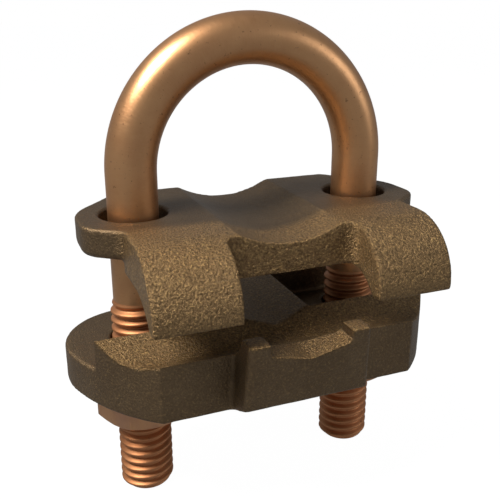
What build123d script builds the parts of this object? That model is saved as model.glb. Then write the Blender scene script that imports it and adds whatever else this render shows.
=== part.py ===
from build123d import *
import math
import os

# Earth rod clamp: a U-bolt draws a hooked saddle casting and a keeper casting together.
# The rod stands in the loop of the U-bolt, on the saddle. The conductor lies either across
# the clamp, in the groove under the two hooks, or along the rod, in the V-channel that runs
# between the legs and out through the notch in the keeper's tongue.
#
# Millimetres. X runs from leg to leg, Y along the rod seat with the hooks on the -Y side,
# and Z along the legs. The origin is midway between the legs on the saddle's top face.

# --- thread and U-bolt (3/8-16 UNC) -------------------------------------------------------
THREAD_DIAMETER = 9.525
THREAD_PITCH = 1.5875
SHANK_DIAMETER = 8.34          # thread-rolling blank, so thinner than the thread
LEG_SPACING = 41.14            # centre to centre, and twice the bend's radius
BEND_CENTRE_Z = 6.47
THREAD_TOP_Z = -14.6
LEG_END_Z = -51.2
LEG_END_CHAMFER = 0.9
THREAD_RUN_OUT_SHARE = 0.9     # part of the step from thread to shank that is a cone

# --- hex nuts -------------------------------------------------------------------------------
NUT_ACROSS_FLATS = 14.29
NUT_HEIGHT = 8.33
NUT_CHAMFER_ANGLE = 30.0
NUT_FACE_INSET = 0.1           # the round face stops this far inside the flats
NUT_BORE_CLEARANCE = 0.05      # radial, between the thread's crests and the nut's bore

# --- saddle casting (upper) -----------------------------------------------------------------
SADDLE_LOBE_RADIUS = 9.4       # rounded ends, about the leg holes
SADDLE_BACK_Y = 14.1
SADDLE_BACK_HALF_WIDTH = 20.8
SADDLE_LOBE_THICKNESS = 5.0
SADDLE_BODY_THICKNESS = 7.1
SADDLE_HOLE_CLEARANCE = 1.41   # radial, round the smooth shank
SADDLE_SHOULDER_Y = -5.9       # where the rounded ends turn towards the hooks
SADDLE_SHOULDER_ROUND = 5.0
SADDLE_CORNER_ROUND = 1.2
ROD_SEAT_RADIUS = 17.7
ROD_SEAT_DEPTH = 2.37
KEEL_INSET = 1.0                # back of the thick keel under the seat, from the back edge
UNDERSIDE_V_DEPTH = 0.7
UNDERSIDE_V_HALF_WIDTH = 4.0

# --- hooks, two fingers of the saddle casting --------------------------------------------------
HOOK_OUTER_X = 24.39
HOOK_INNER_X = 11.0
HOOK_ROOT_Y = -9.83            # where the hook's outer side leaves the rounded end
HOOK_REAR_Y = -8.9             # rear face of the thick front body, under the plate
HOOK_RADIUS = 10.09            # outside of the finger
HOOK_CENTRE_Y = -15.49
HOOK_THROAT_RADIUS = 9.9       # inside of the finger
HOOK_TIP_DROP = 0.9            # tip below the centre of the outside radius
HOOK_TIP_ROUND = 0.33
WEB_FRONT_Y = -17.4            # face of the web between the hooks
WEB_ROOT_ROUND = 1.8

# --- keeper casting (lower) ---------------------------------------------------------------------
CASTING_GAP = 9.75             # open height between the castings as the clamp is supplied
KEEPER_LOBE_RADIUS = 12.7
KEEPER_FLOOR_DROP = 5.15       # rib crest to the flat round the legs
KEEPER_BASE_THICKNESS = 6.4
KEEPER_HOLE_CLEARANCE = 0.25   # radial, round the thread
KEEPER_FRONT_Y = -19.27
KEEPER_FRONT_HALF_WIDTH = 22.04
KEEPER_FLANK_START_ANGLE = 17.0  # where the bowed flank leaves the round lobe, in degrees
FRONT_RIB_REAR_Y = -9.75
REAR_RIB_FRONT_Y = 7.0
REAR_RIB_HALF_LENGTH = 21.5
CABLE_GROOVE_RADIUS = 6.2
CABLE_GROOVE_CENTRE_Y = -15.9
CABLE_GROOVE_DEPTH = 2.6       # rib crest to the bottom of the groove
FRONT_RIB_CREST_WIDTH = 0.25
CHANNEL_HALF_WIDTH = 6.75
CHANNEL_DEPTH = 1.57           # rib crest to the bottom of the V
CHANNEL_SHOULDER_ROUND = 0.6
CHANNEL_BOTTOM_ROUND = 2.5
PEDESTAL_HALF_WIDTH = 6.9
TONGUE_SIDE_CLEARANCE = 0.2    # between the foot of the tongue and each hook
TONGUE_SIDE_DRAFT = 2.6        # degrees, each side, narrower towards the top
TONGUE_FRONT_Y = -25.6
TONGUE_LEAN = 1.2              # how far the foot of its front face stands back
TONGUE_RISE = 1.95             # tongue's pads above the rib crest
TONGUE_UNDERCUT = 2.4          # how much the tongue's underside rises to its front
TONGUE_EDGE_ROUND = 0.9
KEEPER_FLANK_ROUND = 0.4

# --- shared edges ---------------------------------------------------------------------------------
CAST_EDGE_ROUND = 0.35
LOBE_UNDER_ROUND = 1.3
KEEPER_FLOOR_ROUND = 0.5
TONGUE_TOP_ROUND = 0.35

LEG_X = LEG_SPACING / 2
THREAD_RADIUS = THREAD_DIAMETER / 2
SHANK_RADIUS = SHANK_DIAMETER / 2
RIB_CREST_Z = -SADDLE_BODY_THICKNESS - CASTING_GAP
FLOOR_Z = RIB_CREST_Z - KEEPER_FLOOR_DROP
KEEPER_BOTTOM_Z = FLOOR_Z - KEEPER_BASE_THICKNESS
CHANNEL_BOTTOM_Z = RIB_CREST_Z - CHANNEL_DEPTH
GROOVE_CENTRE_Z = RIB_CREST_Z - CABLE_GROOVE_DEPTH + CABLE_GROOVE_RADIUS
TONGUE_TOP_Z = RIB_CREST_Z + TONGUE_RISE
TONGUE_HALF_WIDTH = HOOK_INNER_X - TONGUE_SIDE_CLEARANCE
HOLE_RADIUS = SHANK_RADIUS + SADDLE_HOLE_CLEARANCE
KEEPER_HOLE_RADIUS = THREAD_RADIUS + KEEPER_HOLE_CLEARANCE
REACH = 4 * LEG_SPACING        # longer than the whole clamp, for cuts that go right through


def u_bolt():
    """Round bar bent to a half circle, with a thicker rolled thread on each leg."""
    path = Wire(
        [
            Edge.make_line((-LEG_X, 0, THREAD_TOP_Z), (-LEG_X, 0, BEND_CENTRE_Z)),
            Edge.make_three_point_arc(
                (-LEG_X, 0, BEND_CENTRE_Z), (0, 0, BEND_CENTRE_Z + LEG_X), (LEG_X, 0, BEND_CENTRE_Z)
            ),
            Edge.make_line((LEG_X, 0, BEND_CENTRE_Z), (LEG_X, 0, THREAD_TOP_Z)),
        ]
    )
    section = Pos(-LEG_X, 0, THREAD_TOP_Z) * Circle(SHANK_RADIUS)
    bar = sweep(section, path=path)
    length = THREAD_TOP_Z - LEG_END_Z
    leg = Pos(0, 0, THREAD_TOP_Z - length / 2) * Cylinder(THREAD_RADIUS, length)
    leg = chamfer(leg.edges().group_by(Axis.Z)[0], LEG_END_CHAMFER)
    step = THREAD_RADIUS - SHANK_RADIUS
    leg = chamfer(leg.edges().group_by(Axis.Z)[-1], step * THREAD_RUN_OUT_SHARE)
    return bar + Pos(-LEG_X) * leg + Pos(LEG_X) * leg


def hex_nut(x):
    """Full hex nut, corners towards the other leg, with 30 degree chamfers on both faces."""
    top = KEEPER_BOTTOM_Z
    corner = NUT_ACROSS_FLATS / math.sqrt(3)
    body = extrude(RegularPolygon(corner, 6), NUT_HEIGHT)
    flat = NUT_ACROSS_FLATS / 2 - NUT_FACE_INSET
    drop = (corner - flat) * math.tan(math.radians(NUT_CHAMFER_ANGLE))
    with BuildPart() as turned:
        with BuildSketch(Plane.XZ):
            with BuildLine():
                Polyline(
                    (0, 0),
                    (flat, 0),
                    (corner, drop),
                    (corner, NUT_HEIGHT - drop),
                    (flat, NUT_HEIGHT),
                    (0, NUT_HEIGHT),
                    close=True,
                )
            make_face()
        revolve(axis=Axis.Z)
    nut = body & turned.part
    nut -= Pos(0, 0, NUT_HEIGHT / 2) * Cylinder(THREAD_RADIUS + NUT_BORE_CLEARANCE, 2 * NUT_HEIGHT)
    return Pos(x, 0, top - NUT_HEIGHT) * nut


def tangent_point(centre, radius, point):
    """The outer point where a line from point touches the circle, on the circle's -X side."""
    dx, dy = point[0] - centre[0], point[1] - centre[1]
    turn = math.atan2(dy, dx) + math.acos(radius / math.hypot(dx, dy))
    return (centre[0] + radius * math.cos(turn), centre[1] + radius * math.sin(turn))


def both_sides(half):
    """A face for the -X half of an outline, joined to its mirror image."""
    return half + mirror(half, Plane.YZ)


def saddle_plan():
    """Outline from above, with the two fingers and the web between them."""
    back = (-SADDLE_BACK_HALF_WIDTH, SADDLE_BACK_Y)
    touch = tangent_point((-LEG_X, 0), SADDLE_LOBE_RADIUS, back)
    side = -LEG_X - SADDLE_LOBE_RADIUS
    finger_end = HOOK_CENTRE_Y - 2 * HOOK_RADIUS
    middle = math.radians(180) - (math.radians(180) - math.atan2(touch[1], touch[0] + LEG_X)) / 2
    arc_middle = (
        -LEG_X + SADDLE_LOBE_RADIUS * math.cos(middle),
        SADDLE_LOBE_RADIUS * math.sin(middle),
    )
    with BuildSketch() as plan:
        with BuildLine():
            Polyline((0, SADDLE_BACK_Y), back, touch)
            ThreePointArc(touch, arc_middle, (side, 0))
            Polyline(
                (side, 0),
                (side, SADDLE_SHOULDER_Y),
                (-HOOK_OUTER_X, HOOK_ROOT_Y),
                (-HOOK_OUTER_X, finger_end),
                (-HOOK_INNER_X, finger_end),
                (-HOOK_INNER_X, WEB_FRONT_Y),
                (0, WEB_FRONT_Y),
                (0, SADDLE_BACK_Y),
            )
        make_face()
        corners = plan.vertices()
        fillet(corners.sort_by_distance((side, SADDLE_SHOULDER_Y))[0], SADDLE_SHOULDER_ROUND)
        fillet(plan.vertices().sort_by_distance(back)[0], SADDLE_CORNER_ROUND)
        fillet(plan.vertices().sort_by_distance((-HOOK_INNER_X, WEB_FRONT_Y))[0], WEB_ROOT_ROUND)
    return both_sides(plan.sketch)


def hook_profile():
    """Side view of the thick front body and the finger that curls down from it."""
    centre_y, centre_z = HOOK_CENTRE_Y, -HOOK_RADIUS
    tip_z = centre_z - HOOK_TIP_DROP
    lean = math.asin(HOOK_TIP_DROP / HOOK_RADIUS)
    tip_outer = (centre_y - HOOK_RADIUS * math.cos(lean), tip_z)
    bow = math.radians(135)
    arc_middle = (centre_y + HOOK_RADIUS * math.cos(bow), centre_z + HOOK_RADIUS * math.sin(bow))
    throat_z = -SADDLE_BODY_THICKNESS - HOOK_THROAT_RADIUS
    fall = tip_z - throat_z
    tip_inner_y = centre_y - math.sqrt(HOOK_THROAT_RADIUS**2 - fall**2)
    half_turn = math.asin((centre_y - tip_inner_y) / HOOK_THROAT_RADIUS) / 2
    throat_middle = (
        centre_y - HOOK_THROAT_RADIUS * math.sin(half_turn),
        throat_z + HOOK_THROAT_RADIUS * math.cos(half_turn),
    )
    with BuildSketch() as side:
        with BuildLine():
            Polyline((HOOK_REAR_Y, -SADDLE_BODY_THICKNESS), (HOOK_REAR_Y, 0), (centre_y, 0))
            ThreePointArc((centre_y, 0), arc_middle, tip_outer)
            Line(tip_outer, (tip_inner_y, tip_z))
            ThreePointArc((tip_inner_y, tip_z), throat_middle, (centre_y, -SADDLE_BODY_THICKNESS))
            Line((centre_y, -SADDLE_BODY_THICKNESS), (HOOK_REAR_Y, -SADDLE_BODY_THICKNESS))
        make_face()
        for point in (tip_outer, (tip_inner_y, tip_z)):
            fillet(side.vertices().sort_by_distance(point)[0], HOOK_TIP_ROUND)
    return side.sketch


def along_x(face, half_length):
    """Extrude a (Y, Z) outline equally to both sides of X = 0."""
    return extrude(Plane.YZ * face, half_length, both=True)


def along_y(face):
    """Extrude an (X, Z) outline right through the clamp."""
    return extrude(Plane.XZ * face, REACH, both=True)


def saddle_casting():
    """Plate with two rounded ends, a rod seat on top and two hooks in front, in one casting."""
    plan = saddle_plan()
    full = extrude(plan, -2 * HOOK_RADIUS)
    behind = Pos(0, REACH / 2 + HOOK_ROOT_Y, 0) * Box(REACH, REACH, REACH)
    plate = extrude(plan, -SADDLE_LOBE_THICKNESS) & behind
    under = plate.edges().group_by(Axis.Z)[0]
    plate = fillet(under - under.group_by(Axis.Y)[0], LOBE_UNDER_ROUND)
    front = full & along_x(hook_profile(), HOOK_OUTER_X)
    keel_back = SADDLE_BACK_Y - KEEL_INSET
    keel = Pos(0, (keel_back + HOOK_REAR_Y) / 2, -SADDLE_BODY_THICKNESS / 2) * Box(
        2 * HOOK_INNER_X, keel_back - HOOK_REAR_Y, SADDLE_BODY_THICKNESS
    )
    casting = plate + front + keel
    seat_z = ROD_SEAT_RADIUS - ROD_SEAT_DEPTH
    casting -= along_y(Pos(0, seat_z) * Circle(ROD_SEAT_RADIUS))
    vee_z = -SADDLE_BODY_THICKNESS
    casting -= along_y(
        make_face(
            Polyline(
                (-UNDERSIDE_V_HALF_WIDTH, vee_z),
                (0, vee_z + UNDERSIDE_V_DEPTH),
                (UNDERSIDE_V_HALF_WIDTH, vee_z),
                close=True,
            )
        )
    )
    for x in (-LEG_X, LEG_X):
        casting -= Pos(x) * Cylinder(HOLE_RADIUS, REACH)
    return fillet(casting.edges().group_by(Axis.Z)[-1], CAST_EDGE_ROUND)


def keeper_plan():
    """Outline from above: round lobes about the legs, bowed flanks and a straight front."""
    corner = (-KEEPER_FRONT_HALF_WIDTH, KEEPER_FRONT_Y)
    turn = math.radians(KEEPER_FLANK_START_ANGLE)
    flank_end = (-LEG_X - KEEPER_LOBE_RADIUS * math.cos(turn), -KEEPER_LOBE_RADIUS * math.sin(turn))
    shoulder = (
        -LEG_X - KEEPER_LOBE_RADIUS * math.sin(math.radians(45)),
        KEEPER_LOBE_RADIUS * math.cos(math.radians(45)),
    )
    with BuildSketch() as plan:
        with BuildLine():
            Polyline((0, KEEPER_FRONT_Y), corner)
            TangentArc(flank_end, corner, tangent=(math.sin(turn), -math.cos(turn)))
            ThreePointArc(flank_end, shoulder, (-LEG_X, KEEPER_LOBE_RADIUS))
            Polyline((-LEG_X, KEEPER_LOBE_RADIUS), (0, KEEPER_LOBE_RADIUS), (0, KEEPER_FRONT_Y))
        make_face()
        fillet(plan.vertices().sort_by_distance(corner)[0], KEEPER_FLANK_ROUND)
    return both_sides(plan.sketch)


def keeper_tongue():
    """Block that rises between the hooks, undercut below and stepped in front of the wall."""
    with BuildSketch() as side:
        with BuildLine():
            Polyline(
                (CABLE_GROOVE_CENTRE_Y, KEEPER_BOTTOM_Z),
                (CABLE_GROOVE_CENTRE_Y, TONGUE_TOP_Z),
                (TONGUE_FRONT_Y, TONGUE_TOP_Z),
                (TONGUE_FRONT_Y + TONGUE_LEAN, KEEPER_BOTTOM_Z + TONGUE_UNDERCUT),
                (KEEPER_FRONT_Y, KEEPER_BOTTOM_Z),
                close=True,
            )
        make_face()
    height = TONGUE_TOP_Z - KEEPER_BOTTOM_Z
    top_half_width = TONGUE_HALF_WIDTH - height * math.tan(math.radians(TONGUE_SIDE_DRAFT))
    tapered = Polyline(
        (-TONGUE_HALF_WIDTH, KEEPER_BOTTOM_Z),
        (-top_half_width, TONGUE_TOP_Z),
        (top_half_width, TONGUE_TOP_Z),
        (TONGUE_HALF_WIDTH, KEEPER_BOTTOM_Z),
        close=True,
    )
    block = along_x(side.sketch, TONGUE_HALF_WIDTH) & along_y(make_face(tapered))
    front = block.faces().sort_by(Axis.Y)[0]
    corners = front.edges().sort_by(Axis.X)
    block = fillet([corners[0], corners[-1]], TONGUE_EDGE_ROUND)
    top = block.edges().group_by(Axis.Z)[-1]
    return fillet(top - top.group_by(Axis.Y)[-1], TONGUE_TOP_ROUND)


def channel_profile():
    """Shallow V with upright sides, open at the top, for a conductor along the rod."""
    top = -SADDLE_BODY_THICKNESS
    rise = CHANNEL_DEPTH * CHANNEL_HALF_WIDTH / PEDESTAL_HALF_WIDTH
    shoulder_z = CHANNEL_BOTTOM_Z + rise
    with BuildSketch() as profile:
        with BuildLine():
            Polyline(
                (-CHANNEL_HALF_WIDTH, top),
                (-CHANNEL_HALF_WIDTH, shoulder_z),
                (0, CHANNEL_BOTTOM_Z),
                (CHANNEL_HALF_WIDTH, shoulder_z),
                (CHANNEL_HALF_WIDTH, top),
                close=True,
            )
        make_face()
        low = profile.vertices().sort_by(Axis.Y)
        fillet(low[1:3], CHANNEL_SHOULDER_ROUND)
        fillet(profile.vertices().sort_by(Axis.Y)[0], CHANNEL_BOTTOM_ROUND)
    return profile.sketch


def groove_profile():
    """Round-bottomed groove whose rear side runs straight up to the front rib's crest."""
    crest = (FRONT_RIB_REAR_Y - FRONT_RIB_CREST_WIDTH, RIB_CREST_Z)
    centre = (CABLE_GROOVE_CENTRE_Y, GROOVE_CENTRE_Z)
    reach_y, reach_z = crest[0] - centre[0], crest[1] - centre[1]
    away = math.acos(CABLE_GROOVE_RADIUS / math.hypot(reach_y, reach_z))
    turn = math.atan2(reach_z, reach_y) - away
    touch = (
        centre[0] + CABLE_GROOVE_RADIUS * math.cos(turn),
        centre[1] + CABLE_GROOVE_RADIUS * math.sin(turn),
    )
    slope = make_face(Polyline(centre, touch, crest, (crest[0], centre[1]), close=True))
    return Pos(*centre) * Circle(CABLE_GROOVE_RADIUS) + slope


def keeper_casting():
    """Base plate with a front and a rear rib, a pedestal between the legs, and the tongue."""
    plan = keeper_plan()
    base = Pos(0, 0, KEEPER_BOTTOM_Z) * extrude(plan, KEEPER_BASE_THICKNESS)
    base = fillet(base.edges().group_by(Axis.Z)[-1], KEEPER_FLOOR_ROUND)
    raised = Pos(0, 0, KEEPER_BOTTOM_Z) * extrude(plan, RIB_CREST_Z - KEEPER_BOTTOM_Z)
    front_depth = FRONT_RIB_REAR_Y - TONGUE_FRONT_Y
    front = Pos(0, FRONT_RIB_REAR_Y - front_depth / 2, 0) * Box(REACH, front_depth, REACH)
    rear_depth = KEEPER_LOBE_RADIUS - REAR_RIB_FRONT_Y
    rear = Pos(0, REAR_RIB_FRONT_Y + rear_depth / 2, 0) * Box(
        2 * REAR_RIB_HALF_LENGTH, rear_depth, REACH
    )
    pedestal_length = REAR_RIB_FRONT_Y - FRONT_RIB_REAR_Y
    pedestal = Pos(0, FRONT_RIB_REAR_Y + pedestal_length / 2, 0) * Box(
        2 * PEDESTAL_HALF_WIDTH, pedestal_length, REACH
    )
    casting = base + (raised & front) + (raised & rear) + (raised & pedestal) + keeper_tongue()
    casting -= along_x(groove_profile(), REACH)
    casting -= along_y(channel_profile())
    for x in (-LEG_X, LEG_X):
        casting -= Pos(x) * Cylinder(KEEPER_HOLE_RADIUS, REACH)
    return casting


def build():
    """Make every piece and write one STEP file for each."""
    pieces = {
        "u_bolt": u_bolt(),
        "saddle_casting": saddle_casting(),
        "keeper_casting": keeper_casting(),
        "nut_left": hex_nut(-LEG_X),
        "nut_right": hex_nut(LEG_X),
    }
    os.makedirs("parts", exist_ok=True)
    for name, piece in pieces.items():
        export_step(piece, f"parts/{name}.step")


build()
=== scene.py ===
"""Earth rod clamp: the looks of its U-bolt, two castings and two nuts, and a plain studio."""

import math

import bmesh
import bpy
import numpy as np
from mathutils import Matrix, Vector, noise


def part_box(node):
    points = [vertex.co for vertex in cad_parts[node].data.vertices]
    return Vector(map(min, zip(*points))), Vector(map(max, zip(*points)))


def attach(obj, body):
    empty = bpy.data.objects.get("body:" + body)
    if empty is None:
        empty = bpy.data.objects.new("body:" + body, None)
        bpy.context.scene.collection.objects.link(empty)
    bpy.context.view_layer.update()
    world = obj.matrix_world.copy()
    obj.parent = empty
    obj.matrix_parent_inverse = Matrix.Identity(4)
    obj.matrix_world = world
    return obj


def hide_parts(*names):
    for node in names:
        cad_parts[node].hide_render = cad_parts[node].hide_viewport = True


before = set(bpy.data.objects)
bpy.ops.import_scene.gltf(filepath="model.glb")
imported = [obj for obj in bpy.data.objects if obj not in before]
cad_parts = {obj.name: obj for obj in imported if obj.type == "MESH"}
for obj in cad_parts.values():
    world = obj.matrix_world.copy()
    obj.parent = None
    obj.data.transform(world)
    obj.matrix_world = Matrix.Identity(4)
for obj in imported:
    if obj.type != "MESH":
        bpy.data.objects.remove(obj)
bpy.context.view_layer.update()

bl_info = {
    "name": "Earth rod clamp",
    "version": (1, 0, 0),
    "blender": (4, 5, 0),
    "location": "View3D > Sidebar > Clamp",
    "description": "Builds the visible pieces of an earth rod clamp round its CAD frame",
    "category": "Object",
}

MM = 0.001

bolt_low, bolt_high = (Vector(corner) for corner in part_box("u_bolt"))
nut_low, nut_high = (Vector(corner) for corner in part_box("nut_right"))
LEG_X = (nut_low.x + nut_high.x) / 2
THREAD_RADIUS = bolt_high.y
LEG_END_Z = bolt_low.z

BAR_SEGMENTS = 72
BEND_STEPS = 128
BAR_INTO_THREAD = 0.3 * MM  # how far the smooth bar reaches past the top of the thread
THREAD_STEPS = 64  # steps in one turn of the thread
THREAD_SHAPE = (  # share of the pitch, and share of the thread's depth there
    (0.00, 1.00),
    (0.07, 0.985),
    (0.13, 0.90),
    (0.24, 0.56),
    (0.35, 0.18),
    (0.42, 0.04),
    (0.50, 0.00),
    (0.58, 0.04),
    (0.65, 0.18),
    (0.76, 0.56),
    (0.87, 0.90),
    (0.93, 0.985),
    (1.00, 1.00),
)
THREAD_RUN_OUT = 1.3  # in pitches, from the smooth bar to the full thread
THREAD_NECK_INSET = 0.02 * MM  # how far the thread begins below the smooth bar
THREAD_MERGE = 0.002 * MM
THREAD_CUT_TOLERANCE = 0.0002 * MM
CAD_MERGE = 0.001 * MM

SKIN_SMOOTHING_ROUNDS = 2
SWELL_ROUNDS = 2
SHORT_WAVE = 1.4 * MM
LONG_WAVE = 4.0 * MM
WAVE_SHARE = 0.35
WEAR_FROM, WEAR_GAIN = 0.10, 8.0  # in grid steps that a point stands proud
RECESS_FROM, RECESS_GAIN = 0.04, 7.0  # in grid steps that a point lies deep; sets the painted shade in recesses
SADDLE_ROUGH_FROM, SADDLE_ROUGH_FULL = 8.0 * MM, 11.5 * MM  # in front of the legs
SADDLE_LEAST_GRAIN = 0.22
KEEPER_SLOPE_FROM, KEEPER_SLOPE_FULL = 0.15, 0.45  # upward part of a face's direction
KEEPER_ROUGH_FROM, KEEPER_ROUGH_FULL = -21.6 * MM, -20.6 * MM
KEEPER_LEAST_GRAIN = 0.28

SHARP_BAR_ANGLE = math.radians(50)
SHARP_NUT_ANGLE = math.radians(35)
BEVELLED_NUT_ANGLE = math.radians(20)

FLOOR_RADIUS = 4.0
FLOOR_SEGMENTS = 96
FLOOR_GAP = 0.05 * MM
FLOOR_GLOW = 1.06
FLOOR_DIM_GLOW = 0.30
FLOOR_WHITE_SHARE = 0.93
KEY_TOWARDS = (-0.572, -0.137, 0.796)
KEY_DISTANCE, KEY_SIZE = 0.34, 0.16
FILL_TOWARDS = (0.80, -0.52, 0.30)
FILL_DISTANCE, FILL_SIZE = 0.42, 0.22
CAMERA_PLACE = (-43.966 * MM, -108.433 * MM, 31.287 * MM)
CAMERA_TURN = (math.radians(70.897), 0.0, math.radians(-22.09))
CAMERA_LENS = 50.0
CAMERA_SENSOR = 36.0
CAMERA_NEAR = 0.005


# --- settings -------------------------------------------------------------------------------


class BoltSettings(bpy.types.PropertyGroup):
    """Sizes and colours of the U-bolt and the nuts."""

    shank_radius: bpy.props.FloatProperty(
        name="Shank radius",
        description="Radius of the smooth bar",
        default=4.17 * MM,
        unit="LENGTH",
        precision=5,
    )
    thread_top: bpy.props.FloatProperty(
        name="Thread top",
        description="Height where the rolled thread begins on each leg",
        default=-14.6 * MM,
        unit="LENGTH",
        precision=5,
    )
    pitch: bpy.props.FloatProperty(
        name="Pitch",
        description="Distance from one thread ridge to the next",
        default=1.5875 * MM,
        unit="LENGTH",
        precision=6,
    )
    thread_depth: bpy.props.FloatProperty(
        name="Thread depth",
        description="Radial height of the thread ridges",
        default=0.86 * MM,
        unit="LENGTH",
        precision=5,
    )
    end_chamfer: bpy.props.FloatProperty(
        name="End chamfer",
        description="Width of the cone at the end of each leg",
        default=0.9 * MM,
        unit="LENGTH",
        precision=5,
    )
    nut_edge: bpy.props.FloatProperty(
        name="Nut edge",
        description="Width of the softened edges of the nuts",
        default=0.16 * MM,
        unit="LENGTH",
        precision=5,
    )
    bar_colour: bpy.props.FloatVectorProperty(
        name="Bar colour",
        description="Colour of the brushed copper bar",
        subtype="COLOR",
        default=(0.64, 0.335, 0.150),
    )
    thread_colour: bpy.props.FloatVectorProperty(
        name="Thread colour",
        description="Colour of the freshly rolled thread",
        subtype="COLOR",
        default=(0.50, 0.185, 0.070),
    )


class CastingSettings(bpy.types.PropertyGroup):
    """Surface of the two castings."""

    grid: bpy.props.FloatProperty(
        name="Surface grid",
        description="Spacing of the points that carry the cast surface",
        default=0.30 * MM,
        unit="LENGTH",
        precision=5,
    )
    unevenness: bpy.props.FloatProperty(
        name="Unevenness",
        description="Depth of the shallow waves that the sand leaves",
        default=0.07 * MM,
        unit="LENGTH",
        precision=5,
    )
    dark: bpy.props.FloatVectorProperty(
        name="Aged bronze",
        description="Colour of the smooth, aged faces",
        subtype="COLOR",
        default=(0.112, 0.075, 0.044),
    )
    gold: bpy.props.FloatVectorProperty(
        name="Rubbed bronze",
        description="Colour of the grains and edges that are rubbed bright",
        subtype="COLOR",
        default=(0.62, 0.40, 0.16),
    )


class StageSettings(bpy.types.PropertyGroup):
    """Studio, lamps and camera."""

    background: bpy.props.FloatProperty(
        name="Background",
        description="Brightness of the background as the camera sees it",
        default=1.0,
    )
    room: bpy.props.FloatProperty(
        name="Room light",
        description="Brightness of the room round the clamp",
        default=0.26,
    )
    key_power: bpy.props.FloatProperty(
        name="Key lamp",
        description="Power of the large lamp above on the left",
        default=1.9,
        unit="POWER",
    )
    fill_power: bpy.props.FloatProperty(
        name="Fill lamp",
        description="Power of the soft lamp on the right",
        default=0.24,
        unit="POWER",
    )


# --- materials ------------------------------------------------------------------------------


class Value:
    """A number in a material, whose arithmetic adds Math nodes."""

    def __init__(self, finish, socket):
        self.finish = finish
        self.socket = socket

    def maths(self, operation, *numbers, clamp=False):
        inputs = dict(enumerate(numbers))
        settings = {"operation": operation, "use_clamp": clamp}
        return self.finish.add("ShaderNodeMath", settings, inputs)

    def __add__(self, other):
        return self.maths("ADD", self, other)

    def __radd__(self, other):
        return self.maths("ADD", other, self)

    def __mul__(self, other):
        return self.maths("MULTIPLY", self, other)

    def __rmul__(self, other):
        return self.maths("MULTIPLY", other, self)

    def between(self, low, high):
        """0 below low, 1 above high, and smooth between them."""
        settings = {"interpolation_type": "SMOOTHSTEP"}
        return self.finish.add("ShaderNodeMapRange", settings, {"Value": self, 1: low, 2: high})

    def limited(self):
        """The same number, kept between 0 and 1."""
        return self.maths("ADD", self, 0.0, clamp=True)


class Finish:
    """One material, or the world, built node by node."""

    def __init__(self, name, kind="materials"):
        self.made = getattr(bpy.data, kind).new(name)
        self.made.use_nodes = True
        self.tree = self.made.node_tree
        self.tree.nodes.clear()

    def add(self, kind, settings=None, inputs=None, output=0):
        """Adds a node: its settings first, then the values or links of its sockets."""
        node = self.tree.nodes.new(kind)
        for name, setting in (settings or {}).items():
            setattr(node, name, setting)
        for key, given in (inputs or {}).items():
            socket = node.inputs[key]
            if isinstance(given, Value):
                self.tree.links.new(given.socket, socket)
            else:
                socket.default_value = given
        return Value(self, node.outputs[output]) if node.outputs else node

    def place(self):
        """Where a point lies on the piece."""
        return self.add("ShaderNodeTexCoord", output="Object")

    def along(self, name, output="Fac"):
        """A measure that the piece's own points carry."""
        settings = {"attribute_type": "GEOMETRY", "attribute_name": name}
        return self.add("ShaderNodeAttribute", settings, output=output)

    def stretched(self, vector, scale):
        """Coordinates with each axis scaled by itself."""
        return self.add("ShaderNodeMapping", None, {"Vector": vector, "Scale": scale})

    def ray(self, kind):
        """1 for the rays of one kind, and 0 for the others."""
        return self.add("ShaderNodeLightPath", output=kind)

    def noise(self, vector, scale, detail, roughness):
        """Cloudy noise between 0 and 1, this many clouds to a metre."""
        return self.add(
            "ShaderNodeTexNoise",
            {"noise_dimensions": "3D"},
            {
                "Vector": vector,
                "Scale": scale,
                "Detail": detail,
                "Roughness": roughness,
            },
        )

    def mix(self, share, first, second):
        """A colour from first at 0 to second at 1."""
        first, second = (c if isinstance(c, Value) else (*c, 1.0) for c in (first, second))
        settings = {"data_type": "RGBA"}
        return self.add("ShaderNodeMix", settings, {0: share, 6: first, 7: second}, output=2)

    def bump(self, height, distance):
        """Surface direction, tilted by a height."""
        inputs = {"Height": height, "Distance": distance, "Strength": 1.0}
        return self.add("ShaderNodeBump", None, inputs)

    def metal(self, inputs):
        """Ends the material in one metal shader."""
        shader = self.add("ShaderNodeBsdfPrincipled", None, inputs)
        self.add("ShaderNodeOutputMaterial", None, {"Surface": shader})
        return self.made


STAINED_COPPER = (0.46, 0.205, 0.085)
BRIGHT_COPPER = (0.66, 0.38, 0.20)
BROWN_SPECK = (0.16, 0.07, 0.04)
STAINED_NUT = (0.50, 0.25, 0.14)
BRIGHT_NUT = (0.66, 0.36, 0.21)
CLOUDY_BRONZE = (0.150, 0.104, 0.062)
SANDY_BRONZE = (0.255, 0.155, 0.066)
BROWN_PIT = (0.075, 0.045, 0.020)
PALE_FLECK = (0.42, 0.31, 0.18)
PALE_SCRATCH = (0.42, 0.32, 0.21)
# painted shade: the colour put into corners and recesses of the castings
PAINTED_RECESS_SHADE = (0.028, 0.018, 0.010)
RUBBED_EDGE = (0.66, 0.44, 0.18)
FLOOR_GREY = (0.80, 0.80, 0.80)
FLOOR_MIRRORED = (0.86, 0.90, 0.95)
ROOM_BLUE = (0.86, 0.92, 1.0)
WHITE = (1.0, 1.0, 1.0)
WARM_LIGHT = (1.0, 0.97, 0.92)
COOL_LIGHT = (0.95, 0.97, 1.0)


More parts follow.
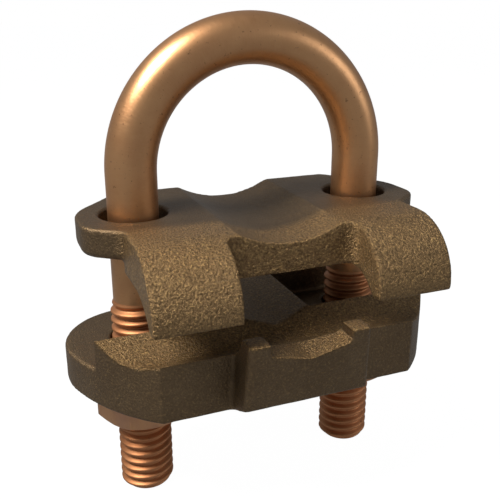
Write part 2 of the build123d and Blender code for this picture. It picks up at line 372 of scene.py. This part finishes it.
def brushed_copper(settings):
    """Copper-coated bar, brushed round its girth, with redder rolled threads."""
    finish = Finish("brushed_copper")
    place = finish.place()
    bar = finish.along("bar", output="Vector")
    stretch = finish.stretched(bar, (0.10, 0.10, 1.0))
    rings = finish.noise(stretch, scale=5200.0, detail=3.0, roughness=0.6)
    stretch = finish.stretched(bar, (1.0, 1.0, 0.12))
    fibres = finish.noise(stretch, scale=1500.0, detail=3.0, roughness=0.55)
    stains = finish.noise(place, scale=150.0, detail=4.0, roughness=0.6)
    grains = finish.noise(place, scale=1700.0, detail=3.0, roughness=0.6)
    specks = grains.between(0.64, 0.72)
    rolled = finish.along("rolled")
    colour = finish.mix(rolled, settings.bar_colour[:], settings.thread_colour[:])
    colour = finish.mix(stains.between(0.35, 0.70) * 0.55, colour, STAINED_COPPER)
    colour = finish.mix((rings * 0.5).limited(), colour, BRIGHT_COPPER)
    colour = finish.mix(specks * 0.55, colour, BROWN_SPECK)
    rough = 0.25 + rings * 0.12 + stains * 0.12 + rolled * 0.16
    height = rings * 0.6 + fibres * 0.4 + grains * 0.5
    return finish.metal(
        {
            "Base Color": colour,
            "Metallic": 0.94,
            "Roughness": rough,
            "Normal": finish.bump(height, 0.030 * MM),
        }
    )


def turned_copper(settings):
    """Copper-coated nut."""
    finish = Finish("turned_copper")
    place = finish.place()
    stretch = finish.stretched(place, (1.0, 1.0, 0.25))
    grain = finish.noise(stretch, scale=1900.0, detail=4.0, roughness=0.6)
    stains = finish.noise(place, scale=260.0, detail=4.0, roughness=0.6)
    colour = finish.mix(stains.between(0.3, 0.7), settings.bar_colour[:], STAINED_NUT)
    colour = finish.mix((grain * 0.5).limited(), colour, BRIGHT_NUT)
    return finish.metal(
        {
            "Base Color": colour,
            "Metallic": 0.92,
            "Roughness": 0.30 + grain * 0.14,
            "Normal": finish.bump(grain, 0.02 * MM),
        }
    )


def cast_bronze(settings):
    """Sand-cast bronze: aged dark, pebbled where the sand shows, rubbed gold on edges, and darkened
    in recesses as painted shade.
    """
    finish = Finish("cast_bronze")
    place = finish.place()
    pebbled = finish.along("pebbled")
    wear = finish.along("wear")
    recess = finish.along("recess")
    sand = finish.noise(place, scale=2900.0, detail=4.0, roughness=0.62)
    coarse = finish.noise(place, scale=1500.0, detail=4.0, roughness=0.60)
    clouds = finish.noise(place, scale=110.0, detail=4.0, roughness=0.6)
    fine = finish.noise(place, scale=5200.0, detail=2.0, roughness=0.6)
    stretch = finish.stretched(place, (1.0, 0.045, 1.0))
    scratch = finish.noise(stretch, scale=2300.0, detail=2.0, roughness=0.6)
    stretch = finish.stretched(place, (0.05, 1.0, 1.0))
    cross = finish.noise(stretch, scale=2300.0, detail=2.0, roughness=0.6)
    scratches = (scratch.between(0.70, 0.76) + cross.between(0.70, 0.76)).limited()

    colour = finish.mix(clouds.between(0.3, 0.72), settings.dark[:], CLOUDY_BRONZE)
    colour = finish.mix((pebbled * 0.75).limited(), colour, SANDY_BRONZE)
    pits = sand.between(0.50, 0.34) * (0.15 + pebbled * 0.60)
    colour = finish.mix(pits.limited(), colour, BROWN_PIT)
    peaks = sand.between(0.52, 0.70) * (0.05 + pebbled * 0.60)
    colour = finish.mix(peaks.limited(), colour, settings.gold[:])
    flecks = fine.between(0.60, 0.74) * 0.20
    colour = finish.mix(flecks, colour, PALE_FLECK)
    colour = finish.mix(scratches * 0.12, colour, PALE_SCRATCH)
    # painted shade: points lying deep in corners and recesses are darkened
    colour = finish.mix((recess * 0.85).limited(), colour, PAINTED_RECESS_SHADE)
    rubbed = (wear * (0.06 + sand.between(0.42, 0.64) * 0.42)).limited()
    colour = finish.mix(rubbed, colour, RUBBED_EDGE)
    rough = 0.36 + fine * 0.14 + recess * 0.15
    height = sand * (0.22 + pebbled * 0.78) + coarse * (0.10 + pebbled * 0.50) + fine * 0.10
    return finish.metal(
        {
            "Base Color": colour,
            "Metallic": 0.86,
            "Roughness": rough,
            "Normal": finish.bump(height, 0.38 * MM),
        }
    )


def studio_white(name, share):
    """Surface that the camera sees white, and that keeps part of its shadows."""
    finish = Finish(name)
    mirrored = (finish.ray("Is Glossy Ray") + finish.ray("Is Transmission Ray")).limited()
    lit = finish.add("ShaderNodeBsdfDiffuse", None, {"Color": (*FLOOR_GREY, 1.0)})
    glow = finish.add("ShaderNodeEmission", None, {"Color": (*WHITE, 1.0), "Strength": FLOOR_GLOW})
    inputs = {"Color": (*FLOOR_MIRRORED, 1.0), "Strength": FLOOR_DIM_GLOW}
    dim = finish.add("ShaderNodeEmission", None, inputs)
    plain = finish.add("ShaderNodeMixShader", None, {0: mirrored, 1: lit, 2: dim})
    inputs = {0: finish.ray("Is Camera Ray") * share, 1: plain, 2: glow}
    white = finish.add("ShaderNodeMixShader", None, inputs)
    finish.add("ShaderNodeOutputMaterial", None, {"Surface": white})
    return finish.made


def studio_room(settings):
    """World that the camera sees white, and that lights the clamp with a dim, cool room."""
    finish = Finish("studio", "worlds")
    inputs = {"Color": (*ROOM_BLUE, 1.0), "Strength": settings.room}
    room = finish.add("ShaderNodeBackground", None, inputs)
    inputs = {"Color": (*WHITE, 1.0), "Strength": settings.background}
    backdrop = finish.add("ShaderNodeBackground", None, inputs)
    inputs = {0: finish.ray("Is Camera Ray"), 1: room, 2: backdrop}
    both = finish.add("ShaderNodeMixShader", None, inputs)
    finish.add("ShaderNodeOutputWorld", None, {"Surface": both})
    return finish.made


# --- meshes ---------------------------------------------------------------------------------


def linked(name, mesh, material, smooth=True):
    """A mesh as an object of the scene, in one material."""
    piece = bpy.data.objects.new(name, mesh)
    bpy.context.collection.objects.link(piece)
    mesh.materials.clear()
    mesh.materials.append(material)
    mesh.polygons.foreach_set("use_smooth", [smooth] * len(mesh.polygons))
    mesh.update()
    return piece


def measure(mesh, name, numbers):
    """Stores one number, or one vector, for each point of a mesh."""
    numbers = np.asarray(numbers, dtype=np.float32)
    vector = numbers.ndim == 2
    kind = "FLOAT_VECTOR" if vector else "FLOAT"
    layer = mesh.attributes.new(name, kind, "POINT")
    layer.data.foreach_set("vector" if vector else "value", numbers.ravel())


def points_of(mesh):
    """The points of a mesh, one to a row."""
    flat = np.empty(len(mesh.vertices) * 3, dtype=np.float64)
    mesh.vertices.foreach_get("co", flat)
    return flat.reshape(-1, 3)


def close_holes(bm):
    """Closes every open loop with one flat face."""
    loose = [edge for edge in bm.edges if edge.is_boundary]
    bmesh.ops.holes_fill(bm, edges=loose, sides=0)


def bent_bar(bm, settings, bend_z):
    """Round bar through a half circle, with a straight stretch down to each thread."""
    ring = bmesh.ops.create_circle(bm, radius=settings.shank_radius, segments=BAR_SEGMENTS)["verts"]
    bmesh.ops.translate(bm, verts=ring, vec=(LEG_X, 0, bend_z))
    hoop = list({edge for point in ring for edge in point.link_edges})
    bend = bmesh.ops.spin(
        bm,
        geom=ring + hoop,
        cent=(0, 0, bend_z),
        axis=(0, -1, 0),
        angle=math.pi,
        steps=BEND_STEPS,
        use_merge=False,
    )
    far = [part for part in bend["geom_last"] if isinstance(part, bmesh.types.BMEdge)]
    fall = settings.thread_top - BAR_INTO_THREAD - bend_z
    for hoop_edges in (hoop, far):
        grown = bmesh.ops.extrude_edge_only(bm, edges=hoop_edges)["geom"]
        moved = [part for part in grown if isinstance(part, bmesh.types.BMVert)]
        bmesh.ops.translate(bm, verts=moved, vec=(0, 0, fall))
    close_holes(bm)


def rolled_thread(bm, settings, x):
    """Right-hand thread on one leg: it dies out into the shank and ends in a cone."""
    pitch = settings.pitch
    root = THREAD_RADIUS - settings.thread_depth
    top, foot = settings.thread_top, LEG_END_Z
    turns = math.ceil((top - foot) / pitch) + 2
    start = top + pitch
    points = [
        bm.verts.new((root + settings.thread_depth * high, 0, start - pitch * down))
        for down, high in THREAD_SHAPE
    ]
    lines = [bm.edges.new(pair) for pair in zip(points, points[1:])]
    bmesh.ops.spin(
        bm,
        geom=points + lines,
        cent=(0, 0, 0),
        axis=(0, 0, 1),
        dvec=(0, 0, -pitch / THREAD_STEPS),
        angle=-2 * math.pi * turns,
        steps=THREAD_STEPS * turns,
        use_merge=False,
    )
    bmesh.ops.remove_doubles(bm, verts=bm.verts[:], dist=THREAD_MERGE)
    for level, side in ((top, 1), (foot, -1)):
        bmesh.ops.bisect_plane(
            bm,
            geom=bm.verts[:] + bm.edges[:] + bm.faces[:],
            dist=THREAD_CUT_TOLERANCE,
            plane_co=(0, 0, level),
            plane_no=(0, 0, side),
            clear_outer=True,
        )
    neck = settings.shank_radius - THREAD_NECK_INSET
    run_out = THREAD_RUN_OUT * pitch
    for point in bm.verts:
        radius = math.hypot(point.co.x, point.co.y)
        grown = min(1.0, (top - point.co.z) / run_out)
        grown = grown * grown * (3 - 2 * grown)
        wanted = neck + (radius - neck) * grown
        wanted = min(wanted, THREAD_RADIUS - settings.end_chamfer + (point.co.z - foot))
        point.co.x *= wanted / radius
        point.co.y *= wanted / radius
    close_holes(bm)
    bmesh.ops.translate(bm, verts=bm.verts[:], vec=(x, 0, 0))


def unbent(places, bend_z):
    """Coordinates along and across the bar, as if it were straight."""
    x, y, z = places.T
    above = z > bend_z
    angle = np.arctan2(np.maximum(z - bend_z, 0.0), x)
    reach = np.where(above, np.hypot(x, z - bend_z), np.abs(x)) - LEG_X
    down = np.where(above, 0.0, bend_z - z)
    length = angle * LEG_X + np.where(x > 0, -down, down)
    return np.stack((reach, y, length), axis=1)


def cad_copy(node):
    """Merged copy of a CAD node's mesh, which is loose triangles."""
    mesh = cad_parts[node].data.copy()
    bm = bmesh.new()
    bm.from_mesh(mesh)
    bmesh.ops.remove_doubles(bm, verts=bm.verts[:], dist=CAD_MERGE)
    bmesh.ops.recalc_face_normals(bm, faces=bm.faces[:])
    bm.to_mesh(mesh)
    bm.free()
    return mesh


def regrown(mesh, grid):
    """The same solid on an even grid of points, with its edges softened."""
    holder = bpy.data.objects.new("grid_source", mesh)
    bpy.context.collection.objects.link(holder)
    change = holder.modifiers.new("grid", "REMESH")
    change.mode = "VOXEL"
    change.voxel_size = grid
    graph = bpy.context.evaluated_depsgraph_get()
    made = bpy.data.meshes.new_from_object(holder.evaluated_get(graph))
    bpy.data.objects.remove(holder)
    bm = bmesh.new()
    bm.from_mesh(made)
    for _ in range(SKIN_SMOOTHING_ROUNDS):
        bmesh.ops.smooth_vert(
            bm, verts=bm.verts[:], factor=0.5, use_axis_x=True, use_axis_y=True, use_axis_z=True
        )
    bm.to_mesh(made)
    bm.free()
    return made


def swell(mesh, grid, rounds):
    """How far each point stands proud of its neighbours: above 0 on edges, below in corners."""
    places = points_of(mesh)
    pairs = np.empty(len(mesh.edges) * 2, dtype=np.int64)
    mesh.edges.foreach_get("vertices", pairs)
    one, two = pairs.reshape(-1, 2).T
    count = np.bincount(np.concatenate((one, two)), minlength=len(places))
    directions = np.empty(len(places) * 3, dtype=np.float64)
    mesh.vertex_normals.foreach_get("vector", directions)
    directions = directions.reshape(-1, 3)

    def average(numbers):
        total = np.bincount(one, numbers[two], len(places))
        total = total + np.bincount(two, numbers[one], len(places))
        return total / np.maximum(count, 1)

    middle = np.stack([average(places[:, axis]) for axis in range(3)], axis=1)
    proud = ((places - middle) * directions).sum(axis=1) / grid
    for _ in range(rounds):
        proud = proud * 0.5 + average(proud) * 0.5
    return proud, directions


def cast_piece(node, settings, material, pebbled):
    """A casting on an even grid, with shallow waves, measures of wear for its finish, and a measure
    of depth for painted shade in recesses.
    """
    low, high = (np.array(corner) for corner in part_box(node))
    mesh = regrown(cad_copy(node), settings.grid)
    places = points_of(mesh)
    proud, directions = swell(mesh, settings.grid, SWELL_ROUNDS)
    waves = [
        noise.noise(Vector(place) / SHORT_WAVE) + noise.noise(Vector(place) / LONG_WAVE)
        for place in places
    ]
    depth = np.clip(0.5 + WAVE_SHARE * np.array(waves), 0.0, 1.0) * settings.unevenness
    moved = np.clip(places - directions * depth[:, None], low, high)
    mesh.vertices.foreach_set("co", moved.ravel())
    measure(mesh, "wear", np.clip((proud - WEAR_FROM) * WEAR_GAIN, 0.0, 1.0))
    # recess: how deep a point lies, for painted shade in corners and a little extra roughness
    measure(mesh, "recess", np.clip((-proud - RECESS_FROM) * RECESS_GAIN, 0.0, 1.0))
    measure(mesh, "pebbled", pebbled(places, directions))
    return linked(node + "_skin", mesh, material)


def ramp(numbers, low, high):
    """0 below low, 1 above high, and smooth between them."""
    share = np.clip((numbers - low) / (high - low), 0.0, 1.0)
    return share * share * (3 - 2 * share)


def saddle_grain(places, directions):
    """The hooks and the web are as rough as the sand left them, and the plate is smoother."""
    front = ramp(-places[:, 1], SADDLE_ROUGH_FROM, SADDLE_ROUGH_FULL)
    return SADDLE_LEAST_GRAIN + (1 - SADDLE_LEAST_GRAIN) * front


def keeper_grain(places, directions):
    """The groove, the ribs and the tongue's pads are rough, and the outer walls are smoother."""
    sloping = ramp(directions[:, 2], KEEPER_SLOPE_FROM, KEEPER_SLOPE_FULL)
    raised = ramp(places[:, 2], KEEPER_ROUGH_FROM, KEEPER_ROUGH_FULL)
    return KEEPER_LEAST_GRAIN + (1 - KEEPER_LEAST_GRAIN) * sloping * raised


# --- operators ------------------------------------------------------------------------------


class CLAMP_OT_bolt(bpy.types.Operator):
    """Adds the threaded U-bolt"""

    bl_idname = "clamp.bolt"
    bl_label = "U-bolt"

    def execute(self, context):
        settings = context.scene.clamp_bolt
        bend_z = bolt_high.z - settings.shank_radius - LEG_X
        whole = bmesh.new()
        bent_bar(whole, settings, bend_z)
        smooth_points = len(whole.verts)
        for x in (-LEG_X, LEG_X):
            leg = bmesh.new()
            rolled_thread(leg, settings, x)
            holder = bpy.data.meshes.new("leg")
            leg.to_mesh(holder)
            leg.free()
            whole.from_mesh(holder)
            bpy.data.meshes.remove(holder)
        bmesh.ops.recalc_face_normals(whole, faces=whole.faces[:])
        mesh = bpy.data.meshes.new("u_bolt_bar")
        whole.to_mesh(mesh)
        whole.free()
        places = points_of(mesh)
        measure(mesh, "bar", unbent(places, bend_z))
        rolled = np.zeros(len(places))
        rolled[smooth_points:] = 1.0
        measure(mesh, "rolled", rolled)
        bar = linked("u_bolt_bar", mesh, brushed_copper(settings))
        mesh.set_sharp_from_angle(angle=SHARP_BAR_ANGLE)
        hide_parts("u_bolt")
        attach(bar, "bolt")
        return {"FINISHED"}


class CLAMP_OT_nuts(bpy.types.Operator):
    """Adds the two hex nuts"""

    bl_idname = "clamp.nuts"
    bl_label = "Nuts"

    def execute(self, context):
        settings = context.scene.clamp_bolt
        material = turned_copper(settings)
        for node, body in (("nut_left", "left_nut"), ("nut_right", "right_nut")):
            nut = linked(node + "_hex", cad_copy(node), material)
            edges = nut.modifiers.new("edges", "BEVEL")
            edges.width = settings.nut_edge
            edges.segments = 2
            edges.limit_method = "ANGLE"
            edges.angle_limit = BEVELLED_NUT_ANGLE
            edges.harden_normals = True
            nut.data.set_sharp_from_angle(angle=SHARP_NUT_ANGLE)
            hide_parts(node)
            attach(nut, body)
        return {"FINISHED"}


class CLAMP_OT_castings(bpy.types.Operator):
    """Adds the saddle casting and the keeper casting"""

    bl_idname = "clamp.castings"
    bl_label = "Castings"

    def execute(self, context):
        settings = context.scene.clamp_casting
        material = cast_bronze(settings)
        grains = {
            "saddle_casting": ("saddle", saddle_grain),
            "keeper_casting": ("keeper", keeper_grain),
        }
        for node, (body, pebbled) in grains.items():
            skin = cast_piece(node, settings, material, pebbled)
            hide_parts(node)
            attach(skin, body)
        return {"FINISHED"}


def lamp(name, towards, distance, size, power, colour):
    """Large soft lamp that faces the middle of the clamp."""
    data = bpy.data.lights.new(name, "AREA")
    data.shape = "DISK"
    data.size = size
    data.energy = power
    data.color = colour
    piece = bpy.data.objects.new(name, data)
    bpy.context.collection.objects.link(piece)
    towards = Vector(towards).normalized()
    turn = towards.to_track_quat("Z", "Y").to_matrix().to_4x4()
    piece.matrix_world = Matrix.Translation(towards * distance) @ turn
    return piece


class CLAMP_OT_stage(bpy.types.Operator):
    """Adds the floor, the room light, the lamps and the camera"""

    bl_idname = "clamp.stage"
    bl_label = "Studio"

    def execute(self, context):
        scene = context.scene
        settings = scene.clamp_stage
        bm = bmesh.new()
        bmesh.ops.create_circle(bm, cap_ends=True, radius=FLOOR_RADIUS, segments=FLOOR_SEGMENTS)
        bmesh.ops.translate(bm, verts=bm.verts[:], vec=(0, 0, LEG_END_Z - FLOOR_GAP))
        mesh = bpy.data.meshes.new("floor")
        bm.to_mesh(mesh)
        bm.free()
        white = studio_white("studio_floor", FLOOR_WHITE_SHARE)
        floor = linked("floor", mesh, white, smooth=False)

        scene.world = studio_room(settings)

        key = lamp("key_lamp", KEY_TOWARDS, KEY_DISTANCE, KEY_SIZE, settings.key_power, WARM_LIGHT)
        fill = lamp(
            "fill_lamp", FILL_TOWARDS, FILL_DISTANCE, FILL_SIZE, settings.fill_power, COOL_LIGHT
        )

        data = bpy.data.cameras.new("camera")
        data.lens = CAMERA_LENS
        data.sensor_width = CAMERA_SENSOR
        data.clip_start = CAMERA_NEAR
        camera = bpy.data.objects.new("camera", data)
        bpy.context.collection.objects.link(camera)
        camera.location = CAMERA_PLACE
        camera.rotation_euler = CAMERA_TURN
        scene.camera = camera
        scene.view_settings.view_transform = "Standard"
        return {"FINISHED"}


class CLAMP_PT_sidebar(bpy.types.Panel):
    """Lists the clamp's pieces and settings"""

    bl_idname = "CLAMP_PT_sidebar"
    bl_label = "Earth rod clamp"
    bl_space_type = "VIEW_3D"
    bl_region_type = "UI"
    bl_category = "Clamp"

    def draw(self, context):
        for operator in OPERATORS:
            self.layout.operator(operator.bl_idname)
        for group in SETTINGS:
            held = getattr(context.scene, group)
            for name in held.bl_rna.properties.keys():
                if name not in {"rna_type", "name"}:
                    self.layout.prop(held, name)


OPERATORS = (CLAMP_OT_bolt, CLAMP_OT_nuts, CLAMP_OT_castings, CLAMP_OT_stage)
SETTINGS = {
    "clamp_bolt": BoltSettings,
    "clamp_casting": CastingSettings,
    "clamp_stage": StageSettings,
}


def register():
    for group in SETTINGS.values():
        bpy.utils.register_class(group)
    for operator in OPERATORS:
        bpy.utils.register_class(operator)
    bpy.utils.register_class(CLAMP_PT_sidebar)
    for name, group in SETTINGS.items():
        setattr(bpy.types.Scene, name, bpy.props.PointerProperty(type=group))


def unregister():
    for name in SETTINGS:
        delattr(bpy.types.Scene, name)
    bpy.utils.unregister_class(CLAMP_PT_sidebar)
    for operator in reversed(OPERATORS):
        bpy.utils.unregister_class(operator)
    for group in reversed(SETTINGS.values()):
        bpy.utils.unregister_class(group)


def main():
    """Builds every piece and the stage."""
    register()
    bpy.ops.clamp.bolt()
    bpy.ops.clamp.nuts()
    bpy.ops.clamp.castings()
    bpy.ops.clamp.stage()


if __name__ == "__main__":
    main()
